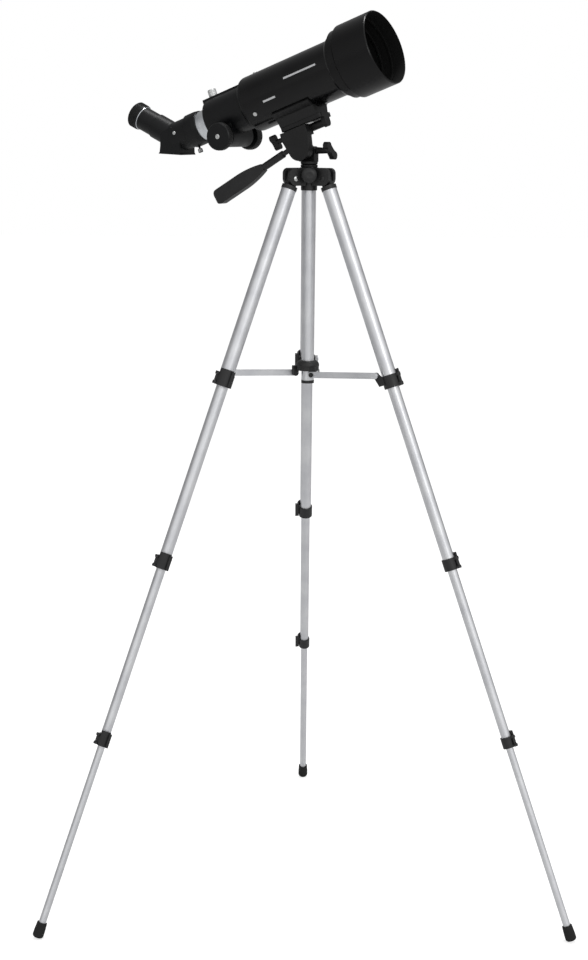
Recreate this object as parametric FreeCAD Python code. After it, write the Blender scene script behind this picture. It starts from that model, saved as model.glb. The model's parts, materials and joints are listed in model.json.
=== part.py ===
import FreeCAD, Part
import os
from math import acos, asin, atan2, cos, degrees, pi, radians, sin, sqrt, tan

# A small refracting telescope on a folding aluminium tripod with a pan and tilt head.
# Millimetres, +Z up.  The tripod's own axis is vertical; the finished shapes are moved so that
# the origin lies on the floor under the middle of the whole object.

V = FreeCAD.Vector
X = V(1, 0, 0)
Y = V(0, 1, 0)
Z = V(0, 0, 1)
O = V(0, 0, 0)

# ---- fits ----
press = 0.03              # radial gap of a piece glued or pressed home
running = 0.05            # radial gap of a pin in its hole
sliding = 0.15            # radial gap of a tube in its guide
seat = 0.3                # gap between flat or loose neighbours that move past each other

# ---- legs ----
legNames = {"left": 210, "right": 330, "rear": 90}   # direction each leg points, degrees
splay = 21.2              # leg angle from the vertical when the legs stand open
hingeRadius = 26.0        # tripod axis to a leg's hinge
tubeDia = [20.0, 16.4, 13.0, 10.0]      # outer diameter of the four leg sections
tubeWall = 1.0
sectionReach = [286.0, 259.0, 252.0, 260.0]   # hinge to lock 1, lock to lock, lock 3 to foot
lockHeight = [17.5, 16.3, 15.0]
lockWall = 1.8
tubeOverlap = 24.0        # how much of a section stays inside the one above
lipShare = 0.35           # share of a lock's height that grips the thinner tube
knuckleDrop = 16.0        # hinge to the top end of the upper tube
knuckleGap = 10.5         # hinge to the shoulder of the knuckle
plugDepth = 8.0
tongueWidth = 8.0
yokeWidth = 20.0
yokeRadius = 9.5
yokeTop = 14.0            # cheeks' top above the hinges
yokeRound = 7.0
hingePinRadius = 2.5
footHeight = 21.4
footTopRadius = 6.8
footRadius = 7.5
footRound = 4.0           # rounding of the rubber foot's lower rim
footSocket = 9.0

# ---- lock levers ----
pivotStandOff = 1.6       # lever pin outside the collar's surface
bossRadius = 3.4
leverPinRadius = 1.2
leverEyeRadius = 2.2
leverEyeHeight = 8.0
leverGap = 0.45
leverThick = 2.25
leverEnd = 100.0          # degrees round the collar where the lever ends
leverOverTop = 5.5
leverLip = 5.8            # how far the finger lip stands off the collar
leverLipArc = 16.0

# ---- hub, column and spreader ----
hubLow = 16.0             # hub's lower end below the hinges
hubHigh = 14.5            # hub's upper end above the hinges
hubRadius = 12.5
hubCollarRadius = 11.0
hubCollarTop = 4.0        # below the hinges
guideDia = 17.0
guideWall = 1.0
guideDrop = 278.0         # hinges to the guide tube's lower end
columnDia = 13.6
columnWall = 1.2
columnLength = 262.0
columnKnobRadius = 10.3
columnKnobStart = 20.0
columnKnobLength = 8.0
columnKnobDome = 2.6
columnKnobFlat = 2.5
columnKnobRise = 5.0      # knob's centre above the hinges
armDrop = 273.0           # hinge to the arm's pivot, along the leg
armInset = 13.5           # leg's centre line to the arm's pivot
armRise = 6.0             # the arm's outer pivot above its inner one
armInner = 14.0           # tripod axis to the inner pivot
armHeight = 8.4
armThick = 2.6
armPocket = 1.4
armPinRadius = 2.0
rivetRadius = 3.3
rivetHead = 1.2
earThick = 2.8
spreaderRadius = 15.5
spreaderTopRadius = 12.5
spreaderHeight = 13.5
spreaderLift = 4.4        # underside of the spreader hub above its pivots

# ---- pan and tilt head ----
panAngle = -30.1          # direction the telescope points, degrees from +X
tubeTilt = 20.3           # telescope's angle above the horizontal
panBaseRadius = 11.6
panBaseHeight = 3.6
panPlugDepth = 16.0
panStubRadius = 4.0
panStubHeight = 2.8
panDiscHeight = 3.8
postBack = -16.0          # the post stands behind and in front of the tripod axis
postFront = 7.5
postSide = 12.0
postTop = 3.5             # post's flat top above the tilt axis
postBackDrop = 6.0        # slope at the post's back, clear of the platform when it lies on its side
tiltPinRadius = 4.0
tiltPinHeight = 39.0      # tilt axis above the hinges
tiltPinBack = 6.0         # tilt axis behind the tripod axis
panScrewHeight = 37.0     # pan lock screw's centre above the hinges
panScrewSide = 6.0
panScrewRadius = 3.0
panScrewDepth = 8.0
panKnobShaft = 19.5       # shaft's length in front of the post
wingSpan = 32.0
wingThick = 7.5
wingWidth = 10.5
wingTurn = -38.0
cheekInner = 0.6          # the tilt body stands beside the post, on its right
cheekOuter = 19.0
cheekRadius = 15.8
cheekTop = 28.0           # tilt body's flat top above its axis
cheekStep = 17.2          # its inner part, which stops below the sideways hinge
cheekBack = 20.8
cheekFront = 20.2
webInset = 0.4            # the web between barrel and shield stands inside both outlines
flopAxisLow = 60.0        # sideways hinge below the telescope's axis
flopBarrel = 5.5
flopBarrelBack = -51.7
flopBarrelFront = 1.7
flopPinRadius = 4.0
flopFrontPinRadius = 3.0
earRadius = 7.0
earFront = [2.0, 8.0]
earRear = [-58.0, -52.0]
sideScrewRadius = 2.0
sideScrewStart = -40.0
sideKnobCollar = 4.5
smallWingAt = -74.0
smallWingThick = 8.5
smallWingSpan = 22.0
smallWingWidth = 9.0
smallWingTurn = -60.0
handleSide = 10.0         # handle beside the telescope's middle plane
handleSlope = 10.4        # handle's angle below the telescope's own axis
handleStart = -46.0
handleStartLow = 76.4
rodRadius = 3.5
rodLength = 20.5
shaftRadius = 5.0
gripLength = 126.0
gripShaft = 36.0
gripHalfWidth = 10.5
gripHalfDepth = 7.0
platformLow = -53.5
platformHigh = -48.0
platformBack = 56.0
platformFront = 8.0
platformHalfWidth = 15.0
platformCorner = 4.0
mountScrewRadius = 3.1
mountScrewAt = -22.0
mountHeadRadius = 8.0
mountHeadHeight = 3.0
mountScrewTop = -40.0

# ---- telescope, measured along its own axis from the tripod's axis, + towards the front ----
pivotToOrigin = 37.2      # tilt axis to the telescope's zero point, along the telescope
pivotToAxis = 83.3        # tilt axis to the telescope's axis, square to it
bracketBack = 56.0
bracketFront = 3.0
bracketHalfWidth = 15.5
bracketSkin = 3.2
bracketWrap = 45.0        # how far the saddle climbs the tube on each side, degrees
tubeRadius = 38.0
tubeSkin = 1.5
tubeRear = -90.0
tubeFront = 58.0
hoodRadius = 50.0
hoodMouth = 120.0
hoodStep = 66.0
hoodNeckRadius = 46.5
hoodSkin = 1.8
hoodSocket = 14.0
lensRadius = 35.5
lensEdge = 6.0
lensBulge = 2.4
lensFlat = 1.5
lensAt = 64.0
lensClear = 34.0
housingTubeRadius = 30.0
housingRear = -161.0
shoulderLength = 8.0
spigotLength = 20.0
spigotWall = 2.0
bushLength = 11.0
drawRadius = 21.0
drawSkin = 2.0
drawRear = -184.0
drawLength = 124.0
shaftAt = -137.0
gearModule = 1.0
pinionTeeth = 14
backlash = 0.26
rackWidth = 7.0
rackFront = -66.0
rackRear = -153.0
rackRoot = 22.0           # telescope axis to the bottom of the rack's teeth
toothDepthOut = 0.8
toothDepthIn = 1.0
lobeRadius = 14.5
lobeHalfWidth = 25.5
shaftRodRadius = 3.0
knobRadius = 18.5
knobInner = 32.0
knobLength = 12.5
backRadius = 23.5
backLength = 17.0
noseRadius = 15.875       # half of the common 31.75 mm eyepiece barrel
noseLength = 17.0
bendAt = -227.0           # where the optical axis turns up
bendAngle = 45.0
stemRadius = 21.5
blockHalf = 19.0
holderRadius = 17.5
holderLength = 38.0
prismDrop = 22.6
prismHalfLength = 18.5
barrelDepth = 22.0
eyeBodyRadius = 16.2
eyeBodyLength = 26.3
eyeCupRadius = 18.0
eyeCupLength = 14.0
eyeHoleRadius = 9.0
finderBack = -166.0
finderFront = -100.0
finderHalfWidth = 7.0
finderHeight = 32.0
nutRadius = 5.8
nutHeight = 9.5
nutStem = 2.2
nutAt = -151.0
screwHeadRadius = 2.8
screwHeadHeight = 1.3
screwShank = 1.5
tubeScrewAt = -77.0

# ---- sizes that follow from the ones above ----
pitchRadius = gearModule * pinionTeeth / 2
shaftDrop = rackRoot + toothDepthIn + pitchRadius     # shaft's centre below the telescope axis
lockDrop = [sum(sectionReach[:i + 1]) for i in range(3)]
footDrop = sum(sectionReach)
footRingDrop = footDrop + footHeight - footRound
footRingRadius = footRadius - footRound
hingeZ = footRingDrop * cos(radians(splay)) + footRingRadius * sin(radians(splay)) + footRound
footOut = hingeRadius + footRingDrop * sin(radians(splay))
armPivotOut = hingeRadius + armDrop * sin(radians(splay)) - armInset * cos(radians(splay))
armPivotZ = hingeZ - armDrop * cos(radians(splay)) - armInset * sin(radians(splay))
armInnerZ = armPivotZ - armRise
armLength = sqrt((armPivotOut - armInner) ** 2 + armRise ** 2)
armSide = tubeDia[0] / 2 + lockWall + 2 * seat       # inner face of an arm, beside its leg
hubTop = hingeZ + hubHigh
tiltZ = hingeZ + tiltPinHeight
rearReach = footOut + footRingRadius * cos(radians(splay)) + footRound
frontSlant = sin(radians(splay)) / 2
frontReach = footOut / 2 + footRingRadius * sqrt(1 - frontSlant ** 2) + footRound
shiftY = (frontReach - rearReach) / 2                # tripod axis to the object's middle


# ---- small tools ----
def rod(radius, length, base=O, direction=Z):
    return Part.makeCylinder(radius, length, base, direction)


def pipe(outer, inner, length, base=O, direction=Z):
    solid = rod(outer, length, base, direction)
    return solid.cut(rod(inner, length, base, direction))


def block(x0, x1, y0, y1, z0, z1):
    return Part.makeBox(x1 - x0, y1 - y0, z1 - z0, V(x0, y0, z0))


def outline(items, place):
    """Closed face: (a, b) draws a line there, ((ma, mb), (a, b)) an arc through the first pair."""
    edges = []
    last = items[0]
    start = place(*last)
    for item in items[1:] + [items[0]]:
        if isinstance(item[0], tuple):
            edges.append(Part.Arc(place(*last), place(*item[0]), place(*item[1])).toShape())
            last = item[1]
        elif place(*item).distanceToPoint(place(*last)) > 1e-6:
            edges.append(Part.LineSegment(place(*last), place(*item)).toShape())
            last = item
    return Part.Face(Part.Wire(edges))


def turnedX(items):
    """Solid of revolution about X from (x, radius) points."""
    return outline(items, lambda a, b: V(a, 0, b)).revolve(O, X, 360)


def turnedZ(items):
    """Solid of revolution about Z from (radius, z) points."""
    return outline(items, lambda a, b: V(a, 0, b)).revolve(O, Z, 360)


def slabY(items, y0, y1):
    """Side profile of (x, z) points, extruded from y0 to y1."""
    return outline(items, lambda a, b: V(a, y0, b)).extrude(V(0, y1 - y0, 0))


def slabX(items, x0, x1):
    return outline(items, lambda a, b: V(x0, a, b)).extrude(V(x1 - x0, 0, 0))


def slabZ(items, z0, z1):
    return outline(items, lambda a, b: V(a, b, z0)).extrude(V(0, 0, z1 - z0))


def sector(outer, inner, z0, z1, start, end):
    """Part of a ring about Z between two angles in degrees."""
    wedge = Part.makeCylinder(outer, z1 - z0, V(0, 0, z0), Z, end - start)
    wedge = wedge.cut(rod(inner, z1 - z0, V(0, 0, z0)))
    wedge.rotate(O, Z, start)
    return wedge


def joined(first, *others):
    return first.fuse(list(others)).removeSplitter()


def less(solid, *others):
    return solid.cut(list(others))


def legPlace(shape, azimuth):
    shape.rotate(O, Y, -splay)
    shape.translate(V(hingeRadius, 0, hingeZ))
    shape.rotate(O, Z, azimuth)
    return shape


def headPlace(shape):
    shape.rotate(O, Z, panAngle)
    return shape


def scopePlace(shape):
    shape.translate(V(pivotToOrigin, 0, pivotToAxis))
    shape.rotate(O, Y, -tubeTilt)
    shape.translate(V(-tiltPinBack, 0, tiltZ))
    return headPlace(shape)


def eyePlace(shape):
    """From a frame whose +X runs out of the eyepiece, with its zero where the light path bends."""
    shape.rotate(O, Y, bendAngle - 180)
    shape.translate(V(bendAt, 0, 0))
    return scopePlace(shape)


# ---- legs ----
def collarRadius(i):
    return tubeDia[i] / 2 + lockWall


def lockSpan(i):
    low = -lockDrop[i] - lockHeight[i] / 2
    return low, low + lockHeight[i]


def tubeEnds(i):
    top = -knuckleDrop if i == 0 else lockSpan(i - 1)[1] - lockHeight[i - 1] + tubeOverlap
    if i < 3:
        low = lockSpan(i)[0] + lipShare * lockHeight[i]
    else:
        low = -footDrop - footSocket
    return low, top


def legTube(i):
    low, top = tubeEnds(i)
    outer = tubeDia[i] / 2
    return pipe(outer, outer - tubeWall, top - low, V(0, 0, low))


def knuckle():
    inner = tubeDia[0] / 2 - tubeWall - press
    collar = rod(tubeDia[0] / 2 + 0.6, knuckleDrop - knuckleGap, V(0, 0, -knuckleDrop))
    plug = rod(inner, plugDepth, V(0, 0, -knuckleDrop - plugDepth))
    half = tongueWidth / 2
    eye = rod(yokeRadius - 2.0, tongueWidth, V(0, -half, 0), Y)
    neck = block(-yokeRadius + 2.6, yokeRadius - 2.6, -half, half, -knuckleGap - 1, 0)
    body = joined(collar, plug, eye, neck)
    return less(body, rod(hingePinRadius + running, tongueWidth, V(0, -half, 0), Y))


def lockBody(i):
    low, high = lockSpan(i)
    outer = collarRadius(i)
    pin = V(outer + pivotStandOff, 0, low)
    collar = rod(outer, high - low, V(0, 0, low))
    boss = rod(bossRadius, high - low, pin)
    web = block(outer - 1, pin.x, -bossRadius, bossRadius, low, high)
    body = joined(collar, boss, web)
    slotLow = (low + high - leverEyeHeight) / 2 - seat
    slotHigh = slotLow + leverEyeHeight + 2 * seat
    slot = block(outer - 2, outer + 8, -bossRadius - 1, bossRadius + 4, slotLow, slotHigh)
    slot = slot.cut(rod(outer, slotHigh - slotLow, V(0, 0, slotLow)))
    recess = rod(leverEyeRadius + seat, slotHigh - slotLow, V(pin.x, 0, slotLow))
    lip = low + lipShare * lockHeight[i]
    grip = rod(tubeDia[i + 1] / 2 + sliding, high - low, V(0, 0, low))
    sleeve = rod(tubeDia[i] / 2 + press, high - lip, V(0, 0, lip))
    body = less(body, slot, recess, grip, sleeve)
    return joined(body, rod(leverPinRadius, high - low - 2, pin + V(0, 0, 1)))


def armEar():
    """Tab beside the upper lock, on the leg's right side, that the spreader arm's end lies on."""
    face = -(armSide - seat)
    low, high = lockSpan(0)
    tip = rod(armHeight / 2, earThick, V(-armInset, face, -armDrop), Y)
    root = block(-armInset, -4.6, face, face + earThick, low + 6, high - 2)
    bridge = slabY([(-armInset - armHeight / 2, -armDrop), (-armInset + armHeight / 2, -armDrop),
                    (-4.6, high - 2), (-4.6, low + 6), (-armInset, low + 6)], face, face + earThick)
    return joined(tip, root, bridge)


def lockLever(i):
    low, high = lockSpan(i)
    outer = collarRadius(i)
    eyeLow = (low + high - leverEyeHeight) / 2
    pin = V(outer + pivotStandOff, 0, eyeLow)
    start = degrees((bossRadius + 0.6) / outer)
    inside = outer + leverGap
    outside = inside + leverThick
    eye = rod(leverEyeRadius, leverEyeHeight, pin)
    strap = sector(outside, inside, eyeLow, eyeLow + leverEyeHeight, 0, start + 3)
    plate = sector(outside, inside, low - 0.4, high + leverOverTop, start, leverEnd)
    lip = sector(outer + leverLip, inside, low - 0.4, high + leverOverTop - 1.5,
                 leverEnd - leverLipArc, leverEnd)
    body = joined(eye, strap, plate, lip)
    return less(body, rod(leverPinRadius + running, leverEyeHeight, pin))


def foot():
    low = -footDrop - footHeight
    shape = turnedZ([(0, low), (footRingRadius, low),
                     ((footRingRadius + footRound * sin(pi / 4), low + footRound * (1 - cos(pi / 4))),
                      (footRadius, low + footRound)),
                     (footRadius, low + footRound + 6), (footTopRadius, -footDrop), (0, -footDrop)])
    return less(shape, rod(tubeDia[3] / 2 + press, footSocket, V(0, 0, -footDrop - footSocket)))


def leg(parts, name, azimuth):
    lock = joined(lockBody(0), armEar())
    fittings = Part.makeCompound([knuckle(), less(lock, rod(tubeDia[0] / 2 + press, 40,
                                 V(0, 0, lockSpan(0)[0] + lipShare * lockHeight[0])))])
    parts[name + "_leg_fittings"] = legPlace(fittings, azimuth)
    for i in range(4):
        parts["%s_leg_tube_%d" % (name, i + 1)] = legPlace(legTube(i), azimuth)
    for i in (1, 2):
        parts["%s_leg_lock_%d" % (name, i + 1)] = legPlace(lockBody(i), azimuth)
    for i in range(3):
        parts["%s_lock_lever_%d" % (name, i + 1)] = legPlace(lockLever(i), azimuth)
    parts[name + "_foot"] = legPlace(foot(), azimuth)


# ---- hub, column and spreader ----
def yoke(azimuth):
    """Two cheeks and their pin, which one leg's tongue hangs on."""
    half = yokeWidth / 2
    back = -hingeRadius + hubRadius - 2
    r = yokeRound
    k = r * (1 - cos(pi / 4))
    rise = [(back, -yokeRadius), (0, -yokeRadius), (yokeRadius, 0), (yokeRadius, yokeTop - r),
            ((yokeRadius - k, yokeTop - k), (yokeRadius - r, yokeTop)), (back, yokeTop)]
    shape = joined(rod(yokeRadius, yokeWidth, V(0, -half, 0), Y), slabY(rise, -half, half))
    gap = tongueWidth / 2 + seat
    slot = joined(rod(yokeRadius + 6, 2 * gap, V(0, -gap, 0), Y),
                  block(-yokeRadius, 20, -gap, gap, -20, yokeRadius - 3))
    shape = joined(less(shape, slot), rod(hingePinRadius, yokeWidth, V(0, -half, 0), Y))
    shape.translate(V(hingeRadius, 0, hingeZ))
    shape.rotate(O, Z, azimuth)
    return shape


def spider():
    low = hingeZ - hubLow
    collar = rod(hubCollarRadius, hubLow, V(0, 0, low))
    body = rod(hubRadius, hubHigh + hubCollarTop, V(0, 0, hingeZ - hubCollarTop))
    boss = rod(5.5, hubRadius + 4.5, V(0, 0, hingeZ + columnKnobRise), -Y)
    shape = joined(collar, body, boss, *[yoke(a) for a in legNames.values()])
    guideTop = hubLow - hubCollarTop
    return less(shape,
                rod(guideDia / 2 + press, guideTop, V(0, 0, low)),
                rod(columnDia / 2 + sliding, 100, V(0, 0, low)),
                rod(2.5 + running, 40, V(0, 0, hingeZ + columnKnobRise), -Y))


def columnGuideTube():
    length = guideDrop - hubCollarTop
    return pipe(guideDia / 2, guideDia / 2 - guideWall, length, V(0, 0, hingeZ - guideDrop))


def centreColumn():
    top = hubTop + seat
    return pipe(columnDia / 2, columnDia / 2 - columnWall, columnLength, V(0, 0, top - columnLength))


def columnLockKnob():
    """Thumb knob whose screw bears on the column; drawn along X, then turned to face the front."""
    tip = columnDia / 2 + sliding + seat
    end = columnKnobStart + columnKnobLength
    dome = columnKnobDome
    shape = turnedX([(tip, 0), (tip, 2.5), (hubRadius + 5, 2.5), (hubRadius + 5, 4.2),
                     (columnKnobStart, 4.2), (columnKnobStart, columnKnobRadius - 1),
                     (columnKnobStart + 1, columnKnobRadius), (end - dome, columnKnobRadius),
                     ((end - dome * 0.3, columnKnobRadius * 0.78), (end, columnKnobFlat)), (end, 0)])
    shape.rotate(O, Z, -90)
    shape.translate(V(0, 0, hingeZ + columnKnobRise))
    return shape


def spreaderHub():
    low = armInnerZ + spreaderLift
    high = low + spreaderHeight
    bell = turnedZ([(0, low), (spreaderRadius, low), (spreaderRadius, low + 5),
                    ((spreaderRadius - 1.2, high - 2.2), (spreaderTopRadius - 2, high)), (0, high)])
    face = -(armSide - seat)
    lugs = []
    for azimuth in legNames.values():
        eye = rod(armHeight / 2, -face - 7.5, V(armInner, face, armInnerZ), Y)
        stem = block(armInner - armHeight / 2, armInner + armHeight / 2, face, -7.5, armInnerZ, low + 6)
        pin = rod(armPinRadius, armThick + 3 * seat, V(armInner, face + 0.01, armInnerZ), -Y)
        head = rod(rivetRadius, rivetHead, V(armInner, -(armSide + armThick + seat), armInnerZ), -Y)
        lug = joined(eye, stem, pin, head)
        lug.rotate(O, Z, azimuth)
        lugs.append(lug)
    return less(joined(bell, *lugs), rod(guideDia / 2 + sliding, 60, V(0, 0, low - 20)))


def spreaderArm(azimuth):
    half = armHeight / 2
    inner = -armSide
    outer = -(armSide + armThick)
    bar = joined(block(0, armLength, outer, inner, -half, half),
                 rod(half, armThick, V(0, inner, 0), -Y),
                 rod(half, armThick, V(armLength, inner, 0), -Y))
    pocket = block(half + 3, armLength - half - 3, outer, outer + armPocket, -half + 1.2, half - 2.4)
    bar = less(bar, pocket, rod(armPinRadius + running, armThick, V(0, inner, 0), -Y))
    bar = joined(bar, rod(rivetRadius, rivetHead, V(armLength, outer, 0), -Y))
    bar.rotate(O, Y, -degrees(atan2(armRise, armPivotOut - armInner)))
    bar.translate(V(armInner, 0, armInnerZ))
    bar.rotate(O, Z, azimuth)
    return bar


# ---- pan and tilt head ----
def panBase():
    low = hubTop + seat
    top = low + panBaseHeight
    plug = rod(columnDia / 2 - columnWall - press, panPlugDepth, V(0, 0, low - panPlugDepth))
    disc = turnedZ([(0, low), (panBaseRadius - 0.8, low), (panBaseRadius, low + 0.8),
                    (panBaseRadius, top - 0.8), (panBaseRadius - 0.8, top), (0, top)])
    return joined(disc, plug, rod(panStubRadius, panStubHeight, V(0, 0, top)))


def tiltPoint(side):
    return V(-tiltPinBack, side, tiltZ)


def panHousing():
    """Turning disc with a post that carries the tilt axle and the pan lock's screw hole."""
    low = hubTop + 2 * seat + panBaseHeight
    high = low + panDiscHeight
    disc = turnedZ([(0, low), (panBaseRadius - 0.8, low), (panBaseRadius, low + 0.8),
                    (panBaseRadius, high), (0, high)])
    top = tiltZ + postTop
    post = slabY([(postBack, low + 3.2), (postFront, low + 3.2), (postFront, top - 3),
                  (postFront - 3, top), (postBack + 3, top), (postBack, top - postBackDrop)], seat, postSide)
    hub = rod(postTop + 3.2, postSide - seat, tiltPoint(seat), Y)
    axle = rod(tiltPinRadius, postSide + seat, tiltPoint(seat), -Y)
    screwFrom = V(postFront - panScrewDepth, panScrewSide, hingeZ + panScrewHeight)
    shape = joined(disc, post, hub, axle)
    return headPlace(less(shape, rod(panStubRadius + running, panStubHeight + seat, V(0, 0, low)),
                          rod(panScrewRadius + running, 20, screwFrom, X)))


def wing(span, thick, width, turn):
    """Two-lobed finger wing about X, from x = 0 to its thickness."""
    half = span / 2 - width / 2
    lobes = [rod(width / 2, thick, V(0, side * half, 0), X) for side in (-1, 1)]
    waist = slabX([(-half, -width / 2), ((0, -width * 0.36), (half, -width / 2)), (half, width / 2),
                   ((0, width * 0.36), (-half, width / 2))], 0, thick)
    shape = joined(waist, *lobes)
    shape.rotate(O, X, turn)
    return shape


def panLockKnob():
    screw = rod(panScrewRadius, panScrewDepth + 2, V(-panScrewDepth + seat, 0, 0), X)
    shaft = Part.makeCone(4.6, 3.6, panKnobShaft, V(1.0, 0, 0), X)
    grip = wing(wingSpan, wingThick, wingWidth, wingTurn)
    grip.translate(V(panKnobShaft - 2, 0, 0))
    shape = joined(screw, shaft, grip)
    shape.translate(V(postFront, panScrewSide, hingeZ + panScrewHeight))
    return headPlace(shape)


def shieldSide(top):
    """Side outline of the tilt body up to a height above its axis, its flanks tangent to the arc."""
    x = -pivotToOrigin
    z = -pivotToAxis
    r = cheekRadius
    flanks = []
    for reach, way in ((cheekBack, -1), (cheekFront, 1)):
        toCorner = sqrt(reach ** 2 + cheekStep ** 2)
        turn = acos(r / toCorner) - atan2(cheekStep, reach)
        flanks.append((x + way * r * cos(turn), z - r * sin(turn)))
    return [(x - cheekBack, z + top), (x - cheekBack, z + cheekStep), flanks[0],
            ((x, z - r), flanks[1]), (x + cheekFront, z + cheekStep), (x + cheekFront, z + top)]


def tiltBody():
    """Broad shield beside the post, with the sideways hinge's barrel along its top edge."""
    x = -pivotToOrigin
    z = -pivotToAxis
    split = -earRadius - seat
    outer = slabY(shieldSide(cheekTop), -cheekOuter, split)
    inner = slabY(shieldSide(cheekStep - 0.01), split, -cheekInner)
    sweep = block(earRear[0] - 5, earRear[1] + seat, split, 5, -flopAxisLow - earRadius - seat, 0)
    axis = V(flopBarrelBack, 0, -flopAxisLow)
    barrel = rod(flopBarrel, flopBarrelFront - flopBarrelBack, axis, X)
    web = block(flopBarrelBack + webInset, x + cheekFront - webInset, split - 2, -cheekInner - webInset,
                z + cheekStep - 3, -flopAxisLow - webInset)
    rear = rod(flopPinRadius, flopBarrelBack - earRear[0], axis, -X)
    front = rod(flopFrontPinRadius, earFront[1] - flopBarrelFront, V(flopBarrelFront, 0, -flopAxisLow), X)
    shape = joined(outer, less(inner, sweep), barrel, web, rear, front)
    socket = rod(rodRadius + running, 60, handleBase() + handleWay() * -seat, handleWay())
    return scopePlace(less(shape, socket,
                           rod(tiltPinRadius + running, postSide + 2 * seat - cheekInner,
                               V(x, -cheekInner, z), -Y),
                           rod(sideScrewRadius + running, 40, V(sideScrewStart + 1, 0, -flopAxisLow), -X)))


def handleWay():
    return V(-cos(radians(handleSlope)), 0, -sin(radians(handleSlope)))


def handleBase():
    return V(handleStart, -handleSide, -handleStartLow)


def panHandle():
    """Steel rod and moulded grip: a round shaft that swells into a flat rounded paddle."""
    steel = rod(rodRadius, rodLength + 10, O, X)
    shaft = rod(shaftRadius, gripShaft + 20, V(rodLength, 0, 0), X)
    begin = rodLength + gripShaft
    end = rodLength + gripLength
    wide = gripHalfWidth
    plan = slabZ([(begin, -shaftRadius), ((begin + 20, -wide * 0.86), (begin + 42, -wide)),
                  (end - wide, -wide), ((end, 0), (end - wide, wide)), (begin + 42, wide),
                  ((begin + 20, wide * 0.86), (begin, shaftRadius))], -wide, wide)
    deep = slabY([(begin, -shaftRadius), ((begin + 20, -6.3), (begin + 42, -gripHalfDepth)),
                  (end - 9, -gripHalfDepth), ((end - 2.5, -4.6), (end, 0)),
                  ((end - 2.5, 4.6), (end - 9, gripHalfDepth)), (begin + 42, gripHalfDepth),
                  ((begin + 20, 6.3), (begin, shaftRadius))], -wide, wide)
    shape = joined(steel, shaft, plan.common(deep))
    shape.rotate(O, X, 90)
    shape.rotate(O, Y, 180 - handleSlope)
    shape.translate(handleBase())
    return scopePlace(shape)


def ear(span, pin):
    shape = joined(rod(earRadius, span[1] - span[0], V(span[0], 0, -flopAxisLow), X),
                   block(span[0], span[1], -earRadius, earRadius, -flopAxisLow, platformHigh))
    return shape.cut(rod(pin + running, 12, V(span[0] - 3, 0, -flopAxisLow), X))


def platform():
    back = -platformBack
    front = platformFront
    half = platformHalfWidth
    r = platformCorner
    k = r * (1 - cos(pi / 4))
    plan = [(back, -half), (front - r, -half), ((front - k, -half + k), (front, -half + r)),
            (front, half - r), ((front - k, half - k), (front - r, half)), (back, half)]
    plate = slabZ(plan, platformLow, platformHigh)
    recess = rod(mountHeadRadius + seat, mountHeadHeight + 2 * seat, V(mountScrewAt, 0, platformLow))
    shape = joined(plate, ear(earFront, flopFrontPinRadius), ear(earRear, flopPinRadius))
    return scopePlace(less(shape, recess, rod(mountScrewRadius + sliding, 20,
                                              V(mountScrewAt, 0, platformLow))))


def sideTiltKnob():
    """Wing knob whose screw draws the sideways hinge tight."""
    end = earRear[0] - seat
    screw = rod(sideScrewRadius, sideScrewStart - end, V(end, 0, 0), X)
    collar = rod(sideKnobCollar, 3.5, V(end, 0, 0), -X)
    neck = rod(3.4, end - smallWingAt + 2, V(end, 0, 0), -X)
    grip = wing(smallWingSpan, smallWingThick, smallWingWidth, smallWingTurn)
    grip.translate(V(smallWingAt - smallWingThick, 0, 0))
    shape = joined(screw, collar, neck, grip)
    shape.translate(V(0, 0, -flopAxisLow))
    return scopePlace(shape)


def mountScrew():
    low = platformLow + seat
    head = rod(mountHeadRadius, mountHeadHeight, V(mountScrewAt, 0, low))
    shank = rod(mountScrewRadius, mountScrewTop - low, V(mountScrewAt, 0, low))
    return scopePlace(joined(head, shank))


# ---- telescope ----
def mountBracket():
    """Saddle bonded under the tube: a foot on the platform and two wings up the tube's sides."""
    outer = tubeRadius + bracketSkin
    length = bracketFront + bracketBack
    half = bracketHalfWidth
    ring = pipe(outer, tubeRadius + press, length, V(-bracketBack, 0, 0), X)
    reach = outer * sin(radians(bracketWrap))
    low = outer * cos(radians(bracketWrap))
    ring = ring.common(slabX([(0, 0), (reach * 1.4, -low * 1.4), (-reach * 1.4, -low * 1.4)],
                             -bracketBack, bracketFront))
    foot = slabX([(-half, platformHigh), (half, platformHigh), (half + 5, -outer * 0.84),
                  (half, -outer * 0.8), (-half, -outer * 0.8), (-half - 5, -outer * 0.84)],
                 -bracketBack, bracketFront)
    foot = foot.cut(rod(tubeRadius + press, 200, V(-120, 0, 0), X))
    return scopePlace(less(joined(ring, foot), rod(mountScrewRadius + running,
                                                   mountScrewTop - platformHigh + 0.5,
                                                   V(mountScrewAt, 0, platformHigh))))


def tubeScrewSpots():
    """Angles about the telescope's axis of the three screws behind the tube, from the left."""
    return (211, 331, 91)


def screwHoles(radius):
    holes = []
    for angle in tubeScrewSpots():
        hole = rod(radius, tubeRadius + 10, V(tubeScrewAt, 0, 0), Y)
        hole.rotate(O, X, angle)
        holes.append(hole)
    return holes


def opticalTube():
    shape = pipe(tubeRadius, tubeRadius - tubeSkin, tubeFront - tubeRear, V(tubeRear, 0, 0), X)
    return scopePlace(less(shape, *screwHoles(screwShank + running)))


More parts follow.
